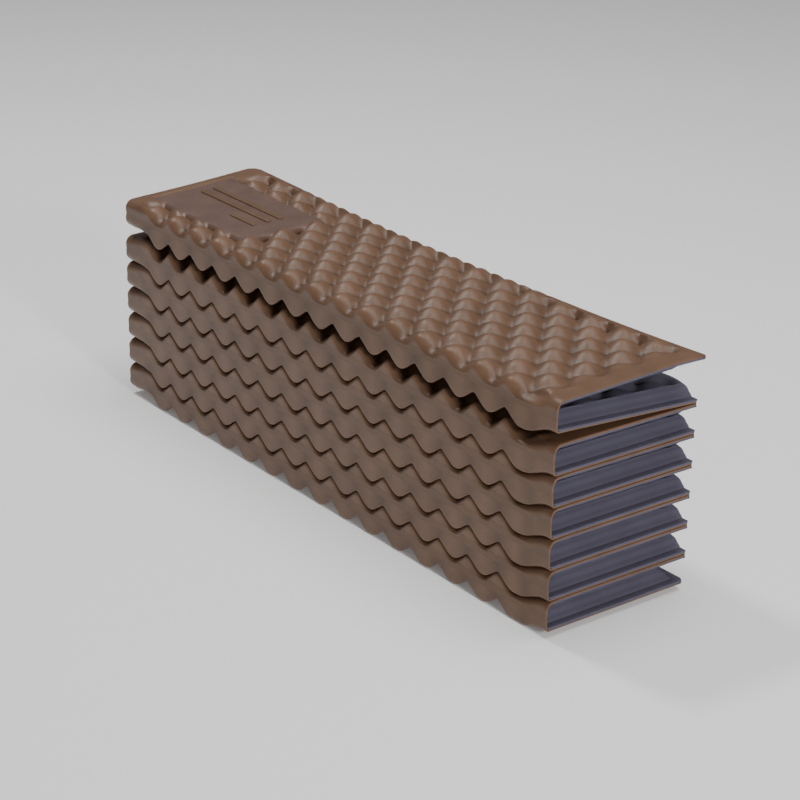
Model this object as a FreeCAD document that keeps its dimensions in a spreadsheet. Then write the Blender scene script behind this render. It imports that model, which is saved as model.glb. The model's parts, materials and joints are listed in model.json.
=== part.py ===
"""Folding closed-cell foam sleeping pad, stacked flat in fourteen panels.

Frame: X along the folds, Y across the stack (front folds at -Y), Z up. The origin is the
centre of the base. Each panel is an outer foam layer over an inner foam layer, and thirteen
webs of foam join the panels, at the front edge and the back edge in turn. Millimetres.
"""

import FreeCAD, Part
import os
import re

import Sketcher

PANELS = 14

# alias, value, meaning
DIMENSIONS = [
    ("pad_length", 560.0, "length of every fold, along X"),
    ("panel_width", 132.8, "distance between the front and back fold lines, along Y"),
    ("panel_pitch", 11.75, "height of one panel in the closed stack"),
    ("bump_rise", 5.0, "height of the moulded bumps on the two outermost faces"),
    ("layer_gap", 0.15, "each panel's clearance from the plane it shares with the next"),
    ("hinge_gap", 0.15, "how far the folded edges lie inside the fold lines"),
    ("skin", 2.0, "thickness of the outer layer and of the folded walls"),
    ("web_height", 3.0, "height of a web on each side of its fold line"),
    ("web_skin", 1.5, "thickness of a web"),
    ("web_gap", 0.1, "clearance between a web's edges and the walls it joins"),
    ("lip_length", 6.0, "thin lip that runs round the free edges"),
    ("lip_thickness", 3.0, "thickness of that lip"),
    ("bevel_length", 14.0, "distance from a free edge to the full thickness"),
    ("shoulder_radius", 4.5, "rounding of the stack's edges over the folds"),
    ("plate_length", 146.0, "smooth label panel on the top face, along X"),
    ("plate_width", 78.0, "smooth label panel, along Y"),
    ("plate_offset", 201.0, "distance of the label panel's centre from the pad's centre"),
    ("plate_depth", 3.5, "depth of the label panel below the bumps"),
    ("first_fold_open", 4.6, "degrees by which the springy top flap stands open"),
    ("second_fold_open", 3.4, "degrees by which the second fold stands open"),
]

doc = FreeCAD.newDocument("FoldingFoamPad")
sheet = doc.addObject("Spreadsheet::Sheet", "Dimensions")
for row, (alias, size, meaning) in enumerate(DIMENSIONS, start=1):
    sheet.set(f"A{row}", meaning)
    sheet.set(f"B{row}", str(size))
    sheet.setAlias(f"B{row}", alias)
doc.recompute()


def bound(formula):
    """A formula of alias words as an expression on the sheet's cells."""
    return re.sub(r"([a-z]+(_[a-z]+)*)", r"Dimensions.\1", formula)


def value(formula):
    """What such a formula comes to with the sheet's present numbers."""
    return float(sheet.evalExpression(formula))


def closed_outline(sketch, corners):
    """Draws a polygon whose corners follow pairs of formulas, along the sketch's two axes."""
    points = [FreeCAD.Vector(value(right), value(up), 0) for right, up in corners]
    first = sketch.GeometryCount
    for n, point in enumerate(points):
        sketch.addGeometry(Part.LineSegment(point, points[(n + 1) % len(points)]), False)
    for n, formulas in enumerate(corners):
        following = first + (n + 1) % len(corners)
        sketch.addConstraint(Sketcher.Constraint("Coincident", first + n, 2, following, 1))
        for kind, formula in zip(("DistanceX", "DistanceY"), formulas):
            rule = Sketcher.Constraint(kind, -1, 1, first + n, 1, value(formula))
            place = sketch.addConstraint(rule)
            sketch.setExpression(f"Constraints[{place}]", bound(formula))


def new_sketch(body, name, plane):
    """An empty sketch on one of the body's own origin planes."""
    sketch = body.newObject("Sketcher::SketchObject", name)
    origin_plane = next(f for f in body.Origin.OriginFeatures if f.Role == plane)
    sketch.AttachmentSupport = [(origin_plane, "")]
    sketch.MapMode = "FlatFace"
    return sketch


def pad_along_x(body, corners):
    """Pads a section in the YZ plane to the pad's full length."""
    sketch = new_sketch(body, "Section", "YZ_Plane")
    closed_outline(sketch, corners)
    pad = body.newObject("PartDesign::Pad", "Along")
    pad.Profile = sketch
    pad.SideType = "Symmetric"
    pad.setExpression("Length", bound("pad_length"))
    doc.recompute()
    return pad


def round_edge(body, before, across, up):
    """Fillets the edge along X that passes through one corner of the section."""
    names = []
    for n, edge in enumerate(before.Shape.Edges, start=1):
        ends = [vertex.Point for vertex in edge.Vertexes]
        if all(abs(p.y - value(across)) + abs(p.z - value(up)) < 1e-4 for p in ends):
            names.append(f"Edge{n}")
    fillet = body.newObject("PartDesign::Fillet", "Shoulder")
    fillet.Base = (before, names)
    fillet.setExpression("Radius", bound("shoulder_radius"))
    doc.recompute()


def bevel_ends(body):
    """Cuts both ends back to a lip, with a slope up to the full thickness."""
    lip = "panel_pitch - lip_thickness"
    sketch = new_sketch(body, "EndOutlines", "XZ_Plane")
    for side in ("", "-"):
        closed_outline(
            sketch,
            [
                (f"{side}(pad_length / 2 + 1)", "-1"),
                (f"{side}(pad_length / 2 + 1)", lip),
                (f"{side}(pad_length / 2 - lip_length)", lip),
                (f"{side}(pad_length / 2 - bevel_length)", "layer_gap"),
                (f"{side}(pad_length / 2 - bevel_length)", "-1"),
            ],
        )
    cut = body.newObject("PartDesign::Pocket", "EndBevels")
    cut.Profile = sketch
    cut.SideType = "Symmetric"
    cut.setExpression("Length", bound("panel_width * 2"))
    doc.recompute()


def sink_plate(body):
    """Sinks the smooth label panel into the top of the upward-facing outer layer."""
    before = body.Shape.Volume
    sketch = new_sketch(body, "PlateOutline", "XY_Plane")
    sketch.setExpression("AttachmentOffset.Base.z", bound("panel_pitch + bump_rise"))
    closed_outline(
        sketch,
        [
            ("-plate_offset - plate_length / 2", "-plate_width / 2"),
            ("-plate_offset + plate_length / 2", "-plate_width / 2"),
            ("-plate_offset + plate_length / 2", "plate_width / 2"),
            ("-plate_offset - plate_length / 2", "plate_width / 2"),
        ],
    )
    cut = body.newObject("PartDesign::Pocket", "LabelPanel")
    cut.Profile = sketch
    cut.setExpression("Length", bound("plate_depth"))
    doc.recompute()
    removed = before - body.Shape.Volume
    wanted = value("plate_length * plate_width * plate_depth")
    if abs(removed - wanted) > 1:
        raise RuntimeError(f"the label panel removed {removed:.0f} of {wanted:.0f} mm3")


# Corners of a panel's section in its own frame: Y across, Z up from its inner face's plane.
FRONT = "-(panel_width / 2 - hinge_gap)"
BACK = "panel_width / 2 - hinge_gap"
FRONT_WALL = "-(panel_width / 2 - hinge_gap - skin)"
BACK_WALL = "panel_width / 2 - hinge_gap - skin"


def is_outermost(number):
    """The first and last panels have one free edge and bumps that meet no other panel."""
    return number in (1, PANELS)


def outer_face(number):
    return "panel_pitch + bump_rise" if is_outermost(number) else "panel_pitch - layer_gap"


def skin_underside(number):
    return "panel_pitch - skin" if is_outermost(number) else "panel_pitch - layer_gap - skin"


def outer_foam(number):
    """The outer layer: a skin over the panel, and a wall down to the front fold."""
    body = doc.addObject("PartDesign::Body", f"panel_{number:02d}_outer_foam")
    top, under = outer_face(number), skin_underside(number)
    back = BACK if is_outermost(number) else BACK_WALL
    pad = pad_along_x(
        body,
        [
            (FRONT, "web_height"),
            (FRONT_WALL, "web_height"),
            (FRONT_WALL, under),
            (back, under),
            (back, top),
            (FRONT, top),
        ],
    )
    round_edge(body, pad, FRONT, top)
    bevel_ends(body)
    if number == 1:
        sink_plate(body)
    return body


def inner_foam(number):
    """The inner layer: the panel's core, and a wall up to the back fold if it has one."""
    body = doc.addObject("PartDesign::Body", f"panel_{number:02d}_inner_foam")
    under = skin_underside(number)
    if is_outermost(number):
        lip = "panel_pitch - lip_thickness"
        back_edge = [
            ("panel_width / 2 - bevel_length", "layer_gap"),
            ("panel_width / 2 - lip_length", lip),
            (BACK, lip),
            (BACK, under),
        ]
    else:
        back_edge = [
            (BACK, "layer_gap"),
            (BACK, "panel_pitch - web_height"),
            (BACK_WALL, "panel_pitch - web_height"),
            (BACK_WALL, under),
        ]
    pad = pad_along_x(body, [(FRONT_WALL, "layer_gap"), *back_edge, (FRONT_WALL, under)])
    if not is_outermost(number):
        round_edge(body, pad, BACK, "layer_gap")
    bevel_ends(body)
    return body


def web(number):
    """The living hinge between a panel and the next: a strip of foam over the fold line."""
    strip = doc.addObject("Part::Box", f"fold_{number:02d}_web")
    strip.setExpression("Length", bound("pad_length - 2 * bevel_length"))
    strip.setExpression("Width", bound("web_skin"))
    strip.setExpression("Height", bound("2 * (web_height - web_gap)"))
    at_front = number % 2 == 1
    outside = f"{FRONT}" if at_front else f"{BACK} - web_skin"
    height = f"bump_rise + panel_pitch * {PANELS - number} - web_height + web_gap"
    place(strip, ("bevel_length - pad_length / 2", outside, height))
    return strip


def place(part, corner, rotation=FreeCAD.Rotation()):
    """Puts a sub-part's own origin at a point given as formulas."""
    part.Placement = FreeCAD.Placement(FreeCAD.Vector(), rotation)
    for direction, formula in zip("xyz", corner):
        part.setExpression(f"Placement.Base.{direction}", bound(formula))


def place_panel(part, number):
    """Odd panels lie outer face up on the plane that they share with the next; even ones
    lie outer face down under it."""
    faces_up = number % 2 == 1
    plane = PANELS - number if faces_up else PANELS - number + 1
    turn = FreeCAD.Rotation(FreeCAD.Vector(0, 1, 0), 0 if faces_up else 180)
    place(part, ("0", "0", f"bump_rise + panel_pitch * {plane}"), turn)


def tilted(fold, angle):
    """The movement that opens one fold of the closed stack by an angle in degrees."""
    at_front = fold % 2 == 1
    across = value("panel_width / 2") * (-1 if at_front else 1)
    line = FreeCAD.Vector(0, across, value(f"bump_rise + panel_pitch * {PANELS - fold}"))
    axis = FreeCAD.Vector(1 if at_front else -1, 0, 0)
    return FreeCAD.Placement(FreeCAD.Vector(), FreeCAD.Rotation(axis, angle), line)


def open_fold(parts, fold, angle):
    """Turns everything above a fold about it, away from its place in the closed stack."""
    movement = tilted(fold, angle)
    for part in parts:
        closed = part.Placement
        for direction in "xyz":
            part.setExpression(f"Placement.Base.{direction}", None)
        part.Placement = movement.multiply(closed)


panels = {n: [outer_foam(n), inner_foam(n)] for n in range(1, PANELS + 1)}
for number, layers in panels.items():
    for layer in layers:
        place_panel(layer, number)
webs = {n: web(n) for n in range(1, PANELS)}
doc.recompute()

# The top flap springs open, so its fold and the one below it aren't quite closed at rest.
open_fold(panels[1], 1, value("first_fold_open"))
open_fold([*panels[1], *panels[2], webs[1]], 2, value("second_fold_open"))
doc.recompute()

sub_parts = [part for layers in panels.values() for part in layers] + list(webs.values())
for thing in doc.Objects:
    if {"Invalid", "Error"} & set(thing.State):
        raise RuntimeError(f"{thing.Label} failed: {thing.State}")
for part in sub_parts:
    if part.Shape.isNull() or not part.Shape.isValid() or len(part.Shape.Solids) != 1:
        raise RuntimeError(f"{part.Label} isn't one valid solid")

os.makedirs("parts", exist_ok=True)
for part in sub_parts:
    part.Shape.exportStep(f"parts/{part.Label}.step")
print(f"{len(sub_parts)} sub-parts written")
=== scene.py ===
"""Looks of a folding closed-cell foam pad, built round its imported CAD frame.

The pad is one moulded sheet of two laminated foams, folded into a stack of panels. Each panel
is an outer (brown) and an inner (slate) layer with an egg-crate relief, and every fold has a
web that bends. Shapes are worked out in millimetres in the closed stack, then moved to the
slightly open rest position of the top flap.
"""

import json
import math

import bpy
import numpy as np
from mathutils import Matrix, Vector


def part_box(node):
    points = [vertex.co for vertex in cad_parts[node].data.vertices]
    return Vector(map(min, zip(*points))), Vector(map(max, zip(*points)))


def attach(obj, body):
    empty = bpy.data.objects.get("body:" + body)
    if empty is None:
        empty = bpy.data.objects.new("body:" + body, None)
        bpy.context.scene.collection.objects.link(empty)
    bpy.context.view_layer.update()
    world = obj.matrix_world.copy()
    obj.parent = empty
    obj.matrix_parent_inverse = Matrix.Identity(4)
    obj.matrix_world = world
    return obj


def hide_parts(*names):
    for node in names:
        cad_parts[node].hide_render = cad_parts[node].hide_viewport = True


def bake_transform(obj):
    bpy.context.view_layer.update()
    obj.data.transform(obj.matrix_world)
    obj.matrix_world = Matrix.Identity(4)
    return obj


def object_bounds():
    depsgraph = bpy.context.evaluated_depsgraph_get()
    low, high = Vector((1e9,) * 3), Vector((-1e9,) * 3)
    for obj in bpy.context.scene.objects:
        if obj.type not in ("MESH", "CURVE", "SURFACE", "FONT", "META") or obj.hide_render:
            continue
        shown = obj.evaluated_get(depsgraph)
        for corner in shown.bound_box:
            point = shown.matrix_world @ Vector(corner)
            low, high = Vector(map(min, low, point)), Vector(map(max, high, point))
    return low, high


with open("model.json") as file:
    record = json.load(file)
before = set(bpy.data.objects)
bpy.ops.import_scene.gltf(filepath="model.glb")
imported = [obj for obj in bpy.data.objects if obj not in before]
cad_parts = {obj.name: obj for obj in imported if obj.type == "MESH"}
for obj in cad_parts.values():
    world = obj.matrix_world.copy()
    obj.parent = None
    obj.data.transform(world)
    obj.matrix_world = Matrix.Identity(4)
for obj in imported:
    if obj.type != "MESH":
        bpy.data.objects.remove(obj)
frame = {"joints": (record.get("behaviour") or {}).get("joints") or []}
cad_low, cad_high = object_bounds()

MM = 0.001

# ---------------------------------------------------------------- sizes read from the frame
joints = {joint["name"]: joint for joint in frame["joints"]}
PANELS = len(joints) + 1
last_fold = joints[f"fold_{PANELS - 1:02d}"]["pos_m"]
fold_above = joints[f"fold_{PANELS - 2:02d}"]["pos_m"]
HALF_WIDTH = abs(last_fold[1]) / MM
PITCH = (fold_above[2] - last_fold[2]) / MM
BASE = last_fold[2] / MM - PITCH
END = cad_high.x / MM
FIRST_OPEN = -joints["fold_01"]["range_deg"][0]
SECOND_OPEN = -joints["fold_02"]["range_deg"][0]
web_low, web_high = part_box("fold_13_web")
WEB_GAP = 0.1
SEAM = (web_high.z - web_low.z) / MM / 2 + WEB_GAP  # from a fold line to a panel's folded wall


def plane(level):
    """Height of one of the planes that neighbouring panels share, in the closed stack."""
    return BASE + PITCH * level


# ---------------------------------------------------------------- moulded relief, millimetres
BUMP_PITCH = 33.65  # between bumps in a row, along X
FIRST_BUMP = 226.6  # where one of the bumps in the front row stands, along X
ROWS = 8
ROW_PITCH = 2 * HALF_WIDTH / ROWS
FIRST_ROW = -HALF_WIDTH + ROW_PITCH / 2
BUMP_TOP = 2.26  # above the plane between two panels
BUMP_SLOPE = 0.74
BUMP_TIP = 4.5  # rounding of a bump's tip
CREASE = 0.12  # softness of the creases between bumps
RELIEF_DEPTH = 6.8  # of the creases' lowest points below the plane
RELIEF_SPAN = 9.1  # from there to the bumps' tops

# How far from the pad's centre the relief starts and stops fading into its flat ends.
RELIEF_FADE = (252, 268)
FOLD_FADE = (250, 274)
CORNER = (247, 276)
LAST_BUMP_MARGIN = 30.0

# Height of the folds' wave on the top face, on the upward faces and on the downward ones.
TOP_CREST, TOP_FALL = 2.3, 6.9
UP_CREST, UP_FALL = 6.1, 9.9
DOWN_MIDDLE, DOWN_SWING = -2.27, 4.53
WAVE_ROUNDNESS = 0.6
GAPING_FACE = 3  # the panel below the gap that the open flap leaves
GAPING_POWER = 0.8  # widens that panel's hollows

# ---------------------------------------------------------------- edges and skin, millimetres
CLEAR = 0.12  # each face's clearance from its neighbour's
EDGE = HALF_WIDTH - 0.15  # where the folded walls stand
SKIN = 1.35  # thickness of the brown layer
THIN = 0.25  # least thickness or radius
FLOOR_GAP = 0.3
SAG = 6.4  # how far the foam hangs down at a fold
SAG_LENGTH = 22.0
LIP = 6.0
LIP_THICK = 3.0
BEVEL = 14.0
RIPPLE = 0.3  # of the bevelled slate ends
FREE_LIP = {1: 0.0, PANELS: -0.1}  # how far a free edge stands past the walls
EDGE_ROUND = 0.7
BORDER = (3, 12)  # where the relief turns into the fold's wave, from the fold
WALL_BAND = 9  # how near a fold its hollows press the foam in
TOP_FLUTE, FLUTE = 4.6, 1.8  # how deep they press it
RIBBON_START = 252
RIBBON_CUT = 0.8
RIBBON_REACH = 9.5


def smooth(value, low, high):
    """0 below a span, 1 above it, and an even S between."""
    t = np.clip((value - low) / (high - low), 0, 1)
    return t * t * (3 - 2 * t)


def domes(x, y, shift):
    """Overlapping round bumps on a chequered lattice, with soft creases where they meet."""
    y = np.maximum(y, FIRST_ROW)
    total = 0
    for row in (0, 1):
        dx = x - FIRST_BUMP - (shift + row) * BUMP_PITCH / 2
        dx = dx - BUMP_PITCH * np.round(dx / BUMP_PITCH)
        dy = y - FIRST_ROW - row * ROW_PITCH
        dy = dy - 2 * ROW_PITCH * np.round(dy / (2 * ROW_PITCH))
        for ax in (dx, dx - np.sign(dx) * BUMP_PITCH):
            for ay in (dy, dy - np.sign(dy) * 2 * ROW_PITCH):
                off = np.sqrt(ax * ax + ay * ay + BUMP_TIP * BUMP_TIP) - BUMP_TIP
                total = total + np.exp(-BUMP_SLOPE * off / CREASE)
    return BUMP_TOP + CREASE * np.log(total)


def relief(x, y, shift):
    """The bumps, fading into the flat border at both ends."""
    return domes(x, y, shift) * (1 - smooth(np.abs(x), *RELIEF_FADE))


def corner(x):
    """0 along the pad, rising to 1 at both of its ends."""
    return smooth(np.abs(x), *CORNER)


def off_bump(x, shift):
    """Distance along a fold from the nearest bump, as a share of half the pitch, 0 to 1.

    Past the last bump or hollow before an end it stays as it is there."""

    def half_pitches(x):
        return (x - FIRST_BUMP - shift * BUMP_PITCH / 2) / BUMP_PITCH * 2

    last = np.floor(half_pitches(END - LAST_BUMP_MARGIN))
    first = np.ceil(half_pitches(-END + LAST_BUMP_MARGIN))
    place = np.clip(half_pitches(x), first, last)
    return np.abs(place - 2 * np.round(place / 2))


def wave(x, shift):
    """The relief's profile along a fold, 1 on the bumps and -1 in the hollows between them."""
    off = off_bump(x, shift)
    return WAVE_ROUNDNESS * np.cos(math.pi * off) + (1 - WAVE_ROUNDNESS) * (1 - 2 * off * off)


def valley(x, shift):
    """0 on the bumps along a fold, falling evenly to 1 in the hollows between them."""
    off = off_bump(x, shift)
    top, foot = 0.3, 0.16
    even = np.where(off < top, off * off / (2 * top), off - top / 2)
    even = even - np.where(off > 1 - foot, (off - 1 + foot) ** 2 / (2 * foot), 0)
    return even / (1 - top / 2 - foot / 2)


def end_pull(x):
    """Rounds the edge of the lips off at both ends."""
    e = np.clip((np.abs(x) - (END - EDGE_ROUND)) / EDGE_ROUND, 0, 1)
    return EDGE_ROUND * (1 - np.sqrt(1 - e * e))


# ---------------------------------------------------------------- label panel
PLATE_X = (-271.0, -129.0)
PLATE_Y = (-44.5, 36.5)
PLATE_FADE = (-1.6, 1.2)
PLATE_DROP = 0.5  # below the plane
GROOVE = 1.1  # depth of the groove round it
GROOVE_WIDTH = 2.2


def plate_weight(x, y):
    """1 on the smooth label panel, 0 off it."""
    return smooth(plate_distance(x, y), *PLATE_FADE)


def plate_distance(x, y):
    """Distance inside the label panel's outline, negative outside it."""
    from_x = np.minimum(x - PLATE_X[0], PLATE_X[1] - x)
    from_y = np.minimum(y - PLATE_Y[0], PLATE_Y[1] - y)
    return np.minimum(from_x, from_y)


def free_edge(number):
    """Where the free back edge of the first or last panel ends, along Y."""
    return EDGE + FREE_LIP[number]


class Face:
    """One face of a panel in the closed stack: brown or slate, facing up or down."""

    def __init__(self, number, layer):
        self.number = number
        self.brown = layer == "outer"
        self.up = (number % 2 == 1) == self.brown
        self.sign = 1 if self.up else -1
        self.level = PANELS - number + (1 if self.up else 0)
        self.far_level = PANELS - number + (0 if self.up else 1)
        self.fold_side = -1 if self.brown else 1
        free = number in (1, PANELS) and not self.brown
        self.has_fold = not free
        self.shift = 0 if number % 2 == 1 else 1
        if not self.brown:
            self.shift = 1 - self.shift
        self.resting = self.level == 0

    def folded(self, x):
        """The relief where the face turns into the fold: an even wave, which the upward
        faces fill up to the neighbour's except in their hollows."""
        row = self.shift + (0 if self.fold_side < 0 else 1)
        if self.level == PANELS:
            profile = TOP_CREST - TOP_FALL * valley(x, row)
        elif self.up:
            fall = valley(x, row)
            if self.number == GAPING_FACE:
                fall = fall**GAPING_POWER
            profile = UP_CREST - UP_FALL * fall
        else:
            profile = DOWN_MIDDLE + DOWN_SWING * wave(x, row)
        return profile * (1 - smooth(np.abs(x), *FOLD_FADE))

    def sag(self, depth, x):
        """How far the foam hangs down towards the fold, at a depth behind the folded face."""
        t = np.clip(1 - depth / SAG_LENGTH, 0, 1)
        loss = np.where(x < 0, 1.0, 0.95) if self.brown and not self.up else 0.85
        share = {0: 0.6, PANELS: 0.62}.get(self.level, 1)
        return share * SAG * t * t * (1 - loss * corner(x))

    def shoulder(self, x):
        """Radius of the edge between the face and its fold, which grows at the pad's ends."""
        if self.level == PANELS:
            growth = 2.4 + 2.0 * corner(x)
        elif not self.brown:
            growth = 1.6 * corner(x)
        elif self.up:
            growth = 0.8 + 3.4 * corner(x)
        else:
            growth = 0.3 + np.where(x < 0, 4.6, 1.2) * corner(x)
        return 2.4 + growth

    def flute(self, x, z):
        """How far the folded face is pressed in below the hollows of an upward face."""
        if not (self.up and self.brown):
            return 0 * x
        deep = TOP_FLUTE if self.level == PANELS else FLUTE
        press = 0.5 - 0.5 * wave(x, self.shift)
        height = np.clip((z - plane(self.far_level) - 1.0) / 7.5, 0, 1)
        return deep * press * height * (1 - corner(x))

    def height(self, x, y):
        """Height of the face, with its relief, its sag and the label panel."""
        depth = HALF_WIDTH - self.fold_side * y
        bump = relief(x, y, self.shift)
        if self.number == 1 and self.brown:
            ends = np.maximum(smooth(x, 60, 150), smooth(-x, 150, 230))
            low = 4 + 4 * ends
            fade = smooth(y, free_edge(1) - low, free_edge(1) + 4 - low)
            bump = bump * (1 - fade * (0.3 + 0.7 * ends)) + 1.4 * fade * (1 - ends)
        elif self.number in (1, PANELS):
            bump = bump * (1 - smooth(y, free_edge(self.number) - 11, free_edge(self.number) - 5))
        outermost = self.level in (0, PANELS)
        if self.has_fold:
            near = 1 - smooth(depth, *BORDER)
            bump = bump * (1 - near) + self.folded(x) * near
        z = plane(self.level) + self.sign * (bump - (0 if outermost else CLEAR))
        if self.has_fold:
            z = z - self.sag(depth, x)
        if self.resting:
            z = np.maximum(z, FLOOR_GAP)
        if self.level == PANELS:
            z = z + (plane(PANELS) - PLATE_DROP - z) * plate_weight(x, y)
            edge = plate_distance(x, y) / GROOVE_WIDTH
            z = z - GROOVE * np.clip(1 - edge * edge, 0, 1)
        return z


def under_skin(number, x, y):
    """Underside of the brown skin, which is also the top of the slate layer."""
    face = Face(number, "outer")
    radius = face.shoulder(x)
    small = np.maximum(radius - SKIN, THIN)
    into = np.clip(-y - (EDGE - radius), 0, small)
    drop = small - np.sqrt(small * small - into * into)
    z = face.height(x, y) - face.sign * (SKIN + drop)
    mid = plane(face.far_level)
    if face.up:
        return np.maximum(z, mid + THIN)
    return np.minimum(z, mid - THIN)


def bevel(number, x, y):
    """How far the slate face is cut back from its plane at the ends and at a free edge."""
    full = PITCH - LIP_THICK
    along = np.clip((np.abs(x) - (END - BEVEL)) / (BEVEL - LIP), 0, 1)
    cut = along * full + RIPPLE * np.sin(4 * math.pi * along)
    if number in (1, PANELS):
        edge = np.clip((y - (free_edge(number) - BEVEL)) / (BEVEL - LIP), 0, 1) * full
        cut = np.maximum(cut, edge)
    return cut


# ---------------------------------------------------------------- meshes
ROUND_STATIONS = [0, 0.08, 0.3, 0.7, 1.6, 2.7, 3.9, 5.2, 6.0]
NEAR_END = np.concatenate([ROUND_STATIONS, np.arange(6.6, 14.7, 0.8)])  # distances from an end
EVEN_END = END - 15.5  # where evenly spaced sections take over
TOP_SECTIONS, SECTIONS = 385, 257
PER_ROW = 8  # columns for each row of bumps
FLAT_COLUMNS = 7 * PER_ROW + PER_ROW // 2 + 1
WALL_COLUMNS = 3
SHARP_ANGLE = math.radians(50)


def stations(number):
    """Where a panel's sections stand along X. The top face has more of them."""
    middle = np.linspace(-EVEN_END, EVEN_END, TOP_SECTIONS if number == 1 else SECTIONS)
    return np.concatenate([NEAR_END - END, middle, END - NEAR_END[::-1]])


def finish_mesh(name, points, faces, attributes, flip):
    """An object with a smooth-shaded mesh of these points, and a number on each per attribute."""
    mesh = bpy.data.meshes.new(name)
    if flip:
        faces = [face[::-1] for face in faces]
    mesh.from_pydata((points * MM).tolist(), [], faces)
    for key, values in attributes.items():
        layer = mesh.attributes.new(key, "FLOAT", "POINT")
        layer.data.foreach_set("value", values.astype(np.float32))
    mesh.validate()
    mesh.update()
    mesh.shade_smooth()
    mesh.set_sharp_from_angle(angle=SHARP_ANGLE)
    piece = bpy.data.objects.new(name, mesh)
    bpy.context.scene.collection.objects.link(piece)
    return piece


def wrapping_outline(face, x):
    """Outline of a face that runs over its fold's shoulder and down the wall to the seam.

    Returns the outer grid, its inward offset by the skin, and the height of the seam."""
    side = face.fold_side
    if not face.brown:
        start = -side * (EDGE - SKIN - 0.05)
    elif face.number in (1, PANELS):
        start = free_edge(face.number)
    else:
        start = -side * (EDGE - SKIN)
    inside = side * (HALF_WIDTH - ROW_PITCH / 2)
    radius = face.shoulder(x)
    mid = plane(face.far_level)
    columns = ([], [], [], [])

    def add(*places):
        for column, place in zip(columns, places):
            column.append(place)

    def add_flat(y):
        z = face.height(x, y)
        add(y, z, y, z - face.sign * SKIN)

    for y in np.linspace(start, inside, FLAT_COLUMNS):
        add_flat(np.full_like(x, y))
    for t in np.linspace(0, 1, 5)[1:]:
        add_flat(inside + (side * (EDGE - radius) - inside) * t)

    room = np.abs(face.height(x, np.full_like(x, side * EDGE)) - mid) - 0.9
    fall = np.maximum(np.minimum(radius, room), 0.3)
    small = np.maximum(radius - SKIN, THIN)
    small_fall = np.maximum(fall - SKIN, THIN)
    for angle in np.linspace(0, math.pi / 2, 9)[1:]:
        y = side * (EDGE - radius + radius * math.sin(angle))
        z = face.height(x, y)
        add(
            y,
            z - face.sign * fall * (1 - math.cos(angle)),
            side * (EDGE - radius + small * math.sin(angle) - THIN * (radius < 2.25)),
            z - face.sign * (SKIN + small_fall * (1 - math.cos(angle))),
        )

    wall_top = mid + face.sign * np.maximum(face.sign * (columns[1][-1] - mid), 0.6)
    seam = mid + face.sign * np.minimum(SEAM, face.sign * (wall_top - mid) - 0.3)
    for t in np.arange(1, WALL_COLUMNS + 1) / WALL_COLUMNS:
        z = wall_top + (seam - wall_top) * t
        add(np.full_like(x, side * EDGE), z, np.full_like(x, side * (EDGE - SKIN)), z)

    outer_y, outer_z, inner_y, inner_z = (np.stack(column, 1) for column in columns)
    press = face.flute(x[:, None], outer_z)
    press = press * smooth(side * outer_y, HALF_WIDTH - WALL_BAND, HALF_WIDTH - BORDER[0])
    outer_y = outer_y - side * press
    inner_y = inner_y - side * press
    flat = slice(0, outer_z.shape[1] - WALL_COLUMNS)
    for z, least in ((outer_z, 0.45), (inner_z, THIN)):
        z[:, flat] = mid + face.sign * np.maximum(face.sign * (z[:, flat] - mid), least)
    return outer_y, outer_z, inner_y, inner_z, seam


def ribbon_x(x, z, mid):
    """The folded face is cut back a little at the ends, most at the fold line."""
    near = np.clip(1 - np.abs(z - mid) / RIBBON_REACH, 0, 1)
    return x - np.sign(x) * RIBBON_CUT * smooth(np.abs(x), RIBBON_START, END) * near * near


def grid(x, y, z):
    """Points from three arrays of coordinates."""
    return np.stack([x, y, z], axis=-1)


def round_corners(number, x, y):
    """Rounds the corners of a free edge, seen from above."""
    if number not in (1, PANELS):
        return x
    edge = free_edge(number)
    radius = np.where(x < 0, 10.0, 1.0) if number == 1 else np.full_like(x, 3.0)
    into = np.clip(y - (edge - radius), 0, radius)
    loss = radius - np.sqrt(radius * radius - into * into)
    return x - np.sign(x) * loss * smooth(np.abs(x), END - 24, END)


def painted_shade_highlight(face, x, y):
    """Painted shade and highlight: 0 in the creases, which the material paints darker, to 1 on the
    bumps, which it paints lighter.
    """
    shade_highlight = np.clip((relief(x, y, face.shift) + RELIEF_DEPTH) / RELIEF_SPAN, 0, 1)
    if face.level == PANELS:
        shade_highlight = shade_highlight + (0.5 - shade_highlight) * plate_weight(x, y)
    return shade_highlight


def outer_layer(number):
    """The brown shell of a panel, with its fold's wall."""
    face = Face(number, "outer")
    x = stations(number)
    outer_y, outer_z, inner_y, inner_z, _ = wrapping_outline(face, x)
    mid = plane(face.far_level)
    xs = np.repeat(x[:, None], outer_y.shape[1], 1)
    near = np.clip(1 - (HALF_WIDTH + outer_y) / BORDER[1], 0, 1)
    xs = xs + (ribbon_x(xs, outer_z, mid) - xs) * np.sqrt(near)
    pull = end_pull(x)[:, None]
    outer_z = outer_z - face.sign * pull * (near < 0.97)
    xs = round_corners(number, xs, outer_y)
    keep = list(range(0, 7 * PER_ROW, 2)) + list(range(7 * PER_ROW, outer_y.shape[1]))
    inner_y = inner_y[:, keep]
    inner_z = inner_z[:, keep]
    # Painted shade in the creases and painted highlight on the bumps, passed on to the material.
    shade_highlight = painted_shade_highlight(face, xs, outer_y)
    outer = grid(xs, outer_y, outer_z)
    inner = grid(xs[:, keep], inner_y, inner_z)
    attributes = {"shade_highlight": np.concatenate([shade_highlight, shade_highlight[:, keep][:, ::-1]], axis=1)}
    if number == 1:
        plate = plate_weight(xs, outer_y)
        attributes["plate"] = np.concatenate([plate, plate[:, keep][:, ::-1] * 0], axis=1)
    return zip_loft(f"panel_{number:02d}_shell", outer, inner, keep, attributes, face.up)


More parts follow.
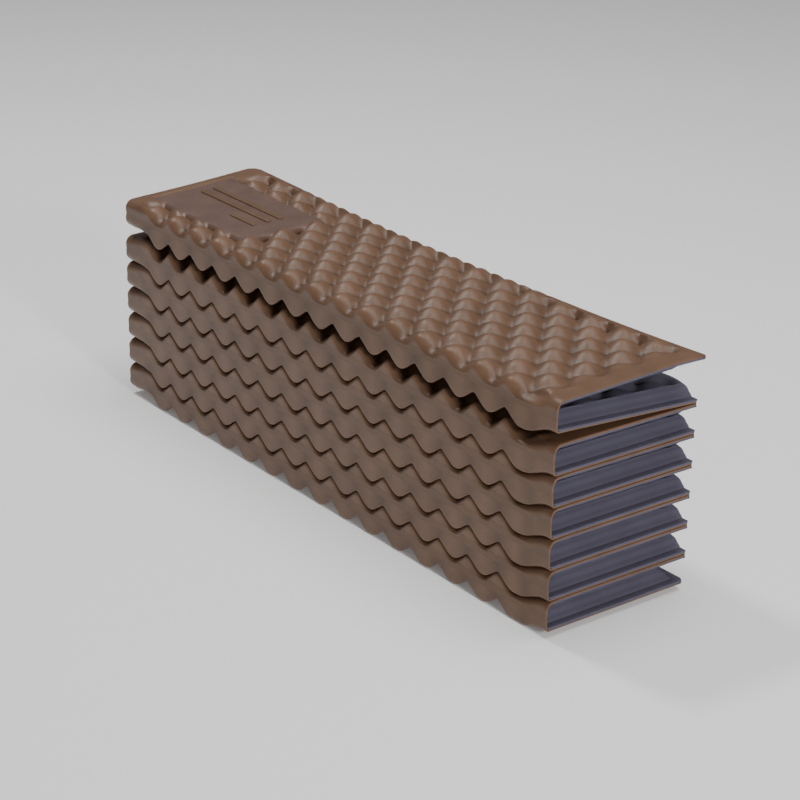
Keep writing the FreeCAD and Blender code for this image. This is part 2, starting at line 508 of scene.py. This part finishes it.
def zip_loft(name, outer, inner, keep, attributes, flip):
    """A closed mesh between an outer and an inner grid, capped at both ends.

    keep says which of the outer grid's columns the inner one has too."""
    loop = np.concatenate([outer, inner[:, ::-1]], axis=1)
    n_x, n_u = loop.shape[:2]
    index = np.arange(n_x * n_u).reshape(n_x, n_u)
    a = index[:-1]
    b = index[1:]
    quads = np.stack([a, b, np.roll(b, -1, 1), np.roll(a, -1, 1)], axis=-1)
    faces = quads.reshape(-1, 4).tolist()
    for row, turn in ((0, 1), (n_x - 1, -1)):
        ring = index[row]
        for k in range(len(keep) - 1):
            top = [int(ring[m]) for m in range(keep[k], keep[k + 1] + 1)]
            low = [int(ring[n_u - 1 - (k + 1)]), int(ring[n_u - 1 - k])]
            faces.append((top + low)[::turn])
    values = {key: part.reshape(-1) for key, part in attributes.items()}
    return finish_mesh(name, loop.reshape(-1, 3), faces, values, not flip)


def inner_layer(number):
    """The slate core of a panel, from its own face up to the brown shell's underside."""
    face = Face(number, "inner")
    x = stations(number)
    sign = face.sign
    if face.has_fold:
        outer_y, outer_z, _, _, seam = wrapping_outline(face, x)
    else:
        y = np.linspace(-(EDGE - SKIN - 0.05), free_edge(number), 8 * PER_ROW + 6)
        outer_y = np.repeat(y[None, :], len(x), 0)
        outer_z = np.stack([face.height(x, np.full_like(x, v)) for v in y], 1)
    xs = np.repeat(x[:, None], outer_y.shape[1], 1)
    limit = plane(face.level) - sign * bevel(number, xs, outer_y)
    reach = EDGE - SKIN if face.has_fold else END
    inner_y = np.minimum(outer_y, reach)
    inner_z = under_skin(number, xs, inner_y) + sign * 0.02
    if sign > 0:
        outer_z = np.minimum(outer_z, limit)
    else:
        outer_z = np.maximum(outer_z, limit)
    if face.has_fold:
        walls = np.arange(outer_y.shape[1] - WALL_COLUMNS, outer_y.shape[1])
        rims = limit[:, -1]
        seam = np.minimum(seam, rims - 0.1) if sign > 0 else np.maximum(seam, rims + 0.1)
        first = outer_z[:, walls[0] - 1]
        skin = inner_z[:, walls[0] - 1]
        for k, column in enumerate(walls):
            t = (k + 1) / WALL_COLUMNS
            outer_z[:, column] = first + (seam - first) * t
            inner_z[:, column] = skin + (seam - skin) * t
        flat = slice(0, walls[0])
    else:
        flat = slice(0, outer_y.shape[1])
    if sign > 0:
        outer_z[:, flat] = np.maximum(outer_z[:, flat], inner_z[:, flat] + 0.3)
    else:
        outer_z[:, flat] = np.minimum(outer_z[:, flat], inner_z[:, flat] - 0.3)
    outer_z = outer_z - sign * end_pull(x)[:, None] * 0.4
    brown_face = Face(number, "outer")
    for z, y in ((outer_z, outer_y), (inner_z, inner_y)):
        press = brown_face.flute(x[:, None], z)
        y += press * smooth(-y, HALF_WIDTH - WALL_BAND, HALF_WIDTH - BORDER[0])
    # Painted shade in the creases and painted highlight on the bumps, passed on to the material.
    shade_highlight = painted_shade_highlight(face, xs, outer_y)
    near = np.sqrt(np.clip(1 - (HALF_WIDTH + outer_y) / BORDER[1], 0, 1))
    xs = xs + (ribbon_x(xs, inner_z, plane(brown_face.far_level)) - xs) * near
    xs = round_corners(number, xs, outer_y)
    outer = grid(xs, outer_y, outer_z)
    inner = grid(xs, inner_y, inner_z)
    attributes = {"shade_highlight": np.concatenate([shade_highlight, shade_highlight[:, ::-1]], axis=1)}
    keep = list(range(outer_y.shape[1]))
    flip = face.up != face.brown
    return zip_loft(f"panel_{number:02d}_core", outer, inner, keep, attributes, flip)


# ---------------------------------------------------------------- plain bars on the label panel
# Each bar's middle along X, place along Y, and length.
BARS = ((-206.0, 10.0, 104.0), (-206.0, -2.5, 104.0), (-172.0, -17.0, 36.0))
BAR_WIDTH = 5.0
BAR_HEIGHT = 1.2
BAR_RINGS = ((0.0, -0.4), (0.0, 0.5), (0.15, 0.85), (0.45, 1.1), (0.9, BAR_HEIGHT))  # inset, height
BAR_SIDES = 32


def label_bars():
    """Three plain bars with rounded ends and soft edges, standing up from the label panel."""
    points = []
    faces = []
    base = plane(PANELS) - PLATE_DROP
    for middle, y, length in BARS:
        first = len(points)
        for inset, height in BAR_RINGS:
            radius = BAR_WIDTH / 2 - inset
            for k in range(BAR_SIDES):
                angle = 2 * math.pi * (k + 0.5) / BAR_SIDES
                run = (length - BAR_WIDTH) / 2 * (1 if math.cos(angle) > 0 else -1)
                x = middle + run + radius * math.cos(angle)
                points.append((x, y + radius * math.sin(angle), base + height))
        last = first + (len(BAR_RINGS) - 1) * BAR_SIDES
        for low in range(first, last, BAR_SIDES):
            for k in range(BAR_SIDES):
                a = low + k
                b = low + (k + 1) % BAR_SIDES
                faces.append((a, b, b + BAR_SIDES, a + BAR_SIDES))
        faces.append(tuple(range(last, last + BAR_SIDES)))
        faces.append(tuple(reversed(range(first, first + BAR_SIDES))))
    points = np.array(points)
    # Middling value of the painted crease shade and bump highlight, and a little of the label tint.
    values = {"shade_highlight": np.full(len(points), 0.5), "plate": np.full(len(points), 0.1)}
    return finish_mesh("label_bars", points, faces, values, False)


# ---------------------------------------------------------------- webs
WEB_STEPS = 9
WEB_SKIN = 1.5


def web(number):
    """The strip of foam that bends at a fold, from the panel above to the panel below."""
    x = stations(number)
    at_front = number % 2 == 1
    layer = "outer" if at_front else "inner"
    side = -1 if at_front else 1
    mid = plane(PANELS - number)
    top = wrapping_outline(Face(number, layer), x)[4] - 0.02
    low = wrapping_outline(Face(number + 1, layer), x)[4] + 0.02
    outer_z = np.stack([low + (top - low) * t for t in np.linspace(0, 1, WEB_STEPS)], 1)
    outer_y = np.full_like(outer_z, side * EDGE)
    inner_y = outer_y - side * WEB_SKIN
    xs = np.repeat(x[:, None], WEB_STEPS, 1)
    xs = ribbon_x(xs, outer_z, mid)
    # Even, middling value of the painted crease shade and bump highlight: neither darkened nor
    # lightened.
    shade_highlight = np.full_like(xs, 0.5)
    attributes = {"shade_highlight": np.concatenate([shade_highlight, shade_highlight], axis=1)}
    outer = grid(xs, outer_y, outer_z)
    inner = grid(xs, inner_y, outer_z)
    keep = list(range(WEB_STEPS))
    return zip_loft(f"fold_{number:02d}_strip", outer, inner, keep, attributes, not at_front)


# ---------------------------------------------------------------- rest position of the top flap
def turning(fold, angle):
    """Turns the closed stack's upper part about a fold line, by an angle in degrees."""
    at_front = fold % 2 == 1
    line = Vector((0, (-1 if at_front else 1) * HALF_WIDTH, plane(PANELS - fold))) * MM
    axis = Vector((1 if at_front else -1, 0, 0))
    turn = Matrix.Rotation(math.radians(angle), 4, axis)
    return Matrix.Translation(line) @ turn @ Matrix.Translation(-line)


open_second = turning(2, SECOND_OPEN)
open_first = open_second @ turning(1, FIRST_OPEN)


LEFT_LIFT = 6.0
RIGHT_LIFT = 3.4
MIDDLE_SAG = 1.5
RIGHT_PULL = 5.5


def curl(piece):
    """The free flap isn't flat: its corners curl up, and its right one is drawn to a point."""
    for vertex in piece.data.vertices:
        x, y = vertex.co.x / MM, vertex.co.y / MM
        back = max(y + HALF_WIDTH, 0) / (2 * HALF_WIDTH)
        left = max(-x - 40, 0) / (END - 40)
        right = max(x - 150, 0) / (END - 150)
        middle = max(1 - ((x + 10) / 240) ** 2, 0) ** 2
        lift = LEFT_LIFT * left**1.6 + RIGHT_LIFT * right**2 - MIDDLE_SAG * middle
        vertex.co.z += lift * back**1.5 * MM
        vertex.co.x += RIGHT_PULL * right**6 * back**6 * MM


def bend_strip(piece, fold, angle, before):
    """Bends a web at rest by the small angle that its fold stands open, then moves it."""
    mid = plane(PANELS - fold) * MM
    for vertex in piece.data.vertices:
        t = min(max((vertex.co.z - mid) / (SEAM * MM) * 0.5 + 0.5, 0), 1)
        weight = t * t * (3 - 2 * t)
        vertex.co = turning(fold, angle * weight) @ vertex.co
    piece.data.transform(before)


# ---------------------------------------------------------------- materials
def node(tree, kind, **settings):
    """A new node, with its inputs or settings given by name."""
    made = tree.nodes.new(kind)
    for key, value in settings.items():
        if key in made.inputs:
            made.inputs[key].default_value = value
        else:
            setattr(made, key, value)
    return made


PLATE_TINT = (0.97, 1.08, 1.5, 1)


def foam(name, low, high, roughness, grain, coat):
    """Satin closed-cell foam: cell grain, soft mottling, painted shade in the relief's creases and
    painted highlight on its bumps.
    """
    material = bpy.data.materials.new(name)
    material.use_nodes = True
    tree = material.node_tree
    shader = tree.nodes["Principled BSDF"]
    place = node(tree, "ShaderNodeTexCoord")
    # Painted shade and highlight: this attribute darkens the creases and lightens the bumps through
    # the colour ramp.
    shade_highlight = node(tree, "ShaderNodeAttribute", attribute_name="shade_highlight")
    mottle = node(tree, "ShaderNodeTexNoise", Scale=38.0, Detail=4.0, Roughness=0.6)
    cells = node(tree, "ShaderNodeTexVoronoi", Scale=1400.0)
    fine = node(tree, "ShaderNodeTexNoise", Scale=900.0, Detail=3.0, Roughness=0.7)
    for texture in (mottle, cells, fine):
        tree.links.new(place.outputs["Object"], texture.inputs["Vector"])
    mix = node(tree, "ShaderNodeMath", operation="MULTIPLY_ADD")
    mix.inputs[1].default_value = 0.45
    tree.links.new(shade_highlight.outputs["Fac"], mix.inputs[0])
    spread = node(tree, "ShaderNodeMath", operation="MULTIPLY_ADD")
    spread.inputs[1].default_value = 0.7
    spread.inputs[2].default_value = -0.1
    tree.links.new(mottle.outputs["Fac"], spread.inputs[0])
    tree.links.new(spread.outputs[0], mix.inputs[2])
    ramp = node(tree, "ShaderNodeValToRGB")
    ramp.color_ramp.elements[0].position = 0.1
    ramp.color_ramp.elements[0].color = (*low, 1)
    ramp.color_ramp.elements[1].position = 0.9
    ramp.color_ramp.elements[1].color = (*high, 1)
    tree.links.new(mix.outputs[0], ramp.inputs["Fac"])
    plate = node(tree, "ShaderNodeAttribute", attribute_name="plate")
    tint = node(tree, "ShaderNodeMix", data_type="RGBA", blend_type="MULTIPLY")
    tree.links.new(plate.outputs["Fac"], tint.inputs["Factor"])
    tree.links.new(ramp.outputs["Color"], tint.inputs["A"])
    tint.inputs["B"].default_value = PLATE_TINT
    tree.links.new(tint.outputs["Result"], shader.inputs["Base Color"])
    shader.inputs["Coat Weight"].default_value = coat
    shader.inputs["Coat Roughness"].default_value = 0.3
    shader.inputs["Specular IOR Level"].default_value = 0.32
    shine = node(tree, "ShaderNodeMapRange")
    shine.inputs["To Min"].default_value = roughness - 0.06
    shine.inputs["To Max"].default_value = roughness + 0.1
    tree.links.new(fine.outputs["Fac"], shine.inputs["Value"])
    tree.links.new(shine.outputs["Result"], shader.inputs["Roughness"])
    bump_cells = node(tree, "ShaderNodeBump", Strength=grain, Distance=0.00025)
    tree.links.new(cells.outputs["Distance"], bump_cells.inputs["Height"])
    bump_fine = node(tree, "ShaderNodeBump", Strength=grain, Distance=0.0004)
    tree.links.new(fine.outputs["Fac"], bump_fine.inputs["Height"])
    tree.links.new(bump_cells.outputs["Normal"], bump_fine.inputs["Normal"])
    tree.links.new(bump_fine.outputs["Normal"], shader.inputs["Normal"])
    return material


# Each low colour is painted shade in the creases and each high colour painted highlight on the
# bumps, with random mottling mixed in.
brown = foam("brown_foam", (0.084, 0.043, 0.022), (0.196, 0.108, 0.064), 0.34, 0.35, 0.04)
slate = foam("slate_foam", (0.066, 0.061, 0.087), (0.114, 0.105, 0.146), 0.62, 0.35, 0.0)

# ---------------------------------------------------------------- build
for number in range(1, PANELS + 1):
    shell = outer_layer(number)
    core = inner_layer(number)
    for piece, part, material in ((shell, "outer", brown), (core, "inner", slate)):
        if number == 1:
            curl(piece)
            piece.data.transform(open_first)
        elif number == 2:
            piece.data.transform(open_second)
        piece.data.materials.append(material)
        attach(piece, f"panel_{number:02d}")
        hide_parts(f"panel_{number:02d}_{part}_foam")

bars = label_bars()
curl(bars)
bars.data.transform(open_first)
bars.data.materials.append(brown)
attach(bars, "panel_01")

for number in range(1, PANELS):
    strip = web(number)
    mid = plane(PANELS - number) * MM
    side = -1 if number % 2 == 1 else 1
    start = Vector((0, side * HALF_WIDTH * MM, mid - SEAM * MM))
    end = Vector((0, side * HALF_WIDTH * MM, mid + SEAM * MM))
    if number == 1:
        bend_strip(strip, 1, FIRST_OPEN, open_second)
        start, end = open_second @ start, open_second @ end
    elif number == 2:
        bend_strip(strip, 2, SECOND_OPEN, Matrix.Identity(4))
    strip.data.materials.append(brown if number % 2 == 1 else slate)
    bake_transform(strip)
    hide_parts(f"fold_{number:02d}_web")

# ---------------------------------------------------------------- floor, light, camera
FLOOR = 6.0  # half of its width, metres
floor_mesh = bpy.data.meshes.new("floor")
floor_mesh.from_pydata(
    [(-FLOOR, -FLOOR, 0), (FLOOR, -FLOOR, 0), (FLOOR, FLOOR, 0), (-FLOOR, FLOOR, 0)],
    [],
    [(0, 1, 2, 3)],
)
floor = bpy.data.objects.new("floor", floor_mesh)
bpy.context.scene.collection.objects.link(floor)
paper = bpy.data.materials.new("paper")
paper.use_nodes = True
paper_shader = paper.node_tree.nodes["Principled BSDF"]
paper_shader.inputs["Base Color"].default_value = (0.9, 0.9, 0.9, 1)
paper_shader.inputs["Roughness"].default_value = 0.9
paper_shader.inputs["Specular IOR Level"].default_value = 0.1
paper_shader.inputs["Emission Color"].default_value = (1, 1, 1, 1)
paper_shader.inputs["Emission Strength"].default_value = 0.12
floor_mesh.materials.append(paper)

world = bpy.data.worlds.new("studio")
world.use_nodes = True
world.node_tree.nodes["Background"].inputs["Color"].default_value = (1, 1, 1, 1)
world.node_tree.nodes["Background"].inputs["Strength"].default_value = 0.2
bpy.context.scene.world = world


LIT_POINT = Vector((0, 0, 0.09))


def area_light(name, place, size, power):
    """A round soft light that faces the stack."""
    data = bpy.data.lights.new(name, "AREA")
    data.shape = "DISK"
    data.size = size
    data.energy = power
    lamp = bpy.data.objects.new(name, data)
    bpy.context.scene.collection.objects.link(lamp)
    lamp.location = place
    lamp.rotation_mode = "QUATERNION"
    lamp.rotation_quaternion = (LIT_POINT - Vector(place)).to_track_quat("-Z", "Y")


area_light("right", (2.1, -0.35, 0.95), 0.35, 24)
area_light("left", (-1.0, -0.2, 1.9), 0.3, 16)
area_light("top", (0.3, 0.3, 2.2), 1.6, 26)

AZIMUTH = math.radians(52.30)
ELEVATION = math.radians(21.97)
ROLL = math.radians(1.15)
DISTANCE = 1.700
AIM_RIGHT = 0.016522
AIM_UP = 0.062863
AIM_HEIGHT = 0.0027
back = Vector(
    (
        math.sin(AZIMUTH) * math.cos(ELEVATION),
        -math.cos(AZIMUTH) * math.cos(ELEVATION),
        math.sin(ELEVATION),
    )
)
level = Vector((math.cos(AZIMUTH), math.sin(AZIMUTH), 0))
steep = back.cross(level)
right = level * math.cos(ROLL) + steep * math.sin(ROLL)
up = steep * math.cos(ROLL) - level * math.sin(ROLL)
camera_data = bpy.data.cameras.new("camera")
camera_data.lens = 94.9
camera_data.sensor_width = 36
camera = bpy.data.objects.new("camera", camera_data)
bpy.context.scene.collection.objects.link(camera)
turn = Matrix((right, up, back)).transposed().to_4x4()
aim = right * AIM_RIGHT + up * AIM_UP + Vector((0, 0, AIM_HEIGHT))
camera.matrix_world = Matrix.Translation(back * DISTANCE + aim) @ turn
bpy.context.scene.camera = camera
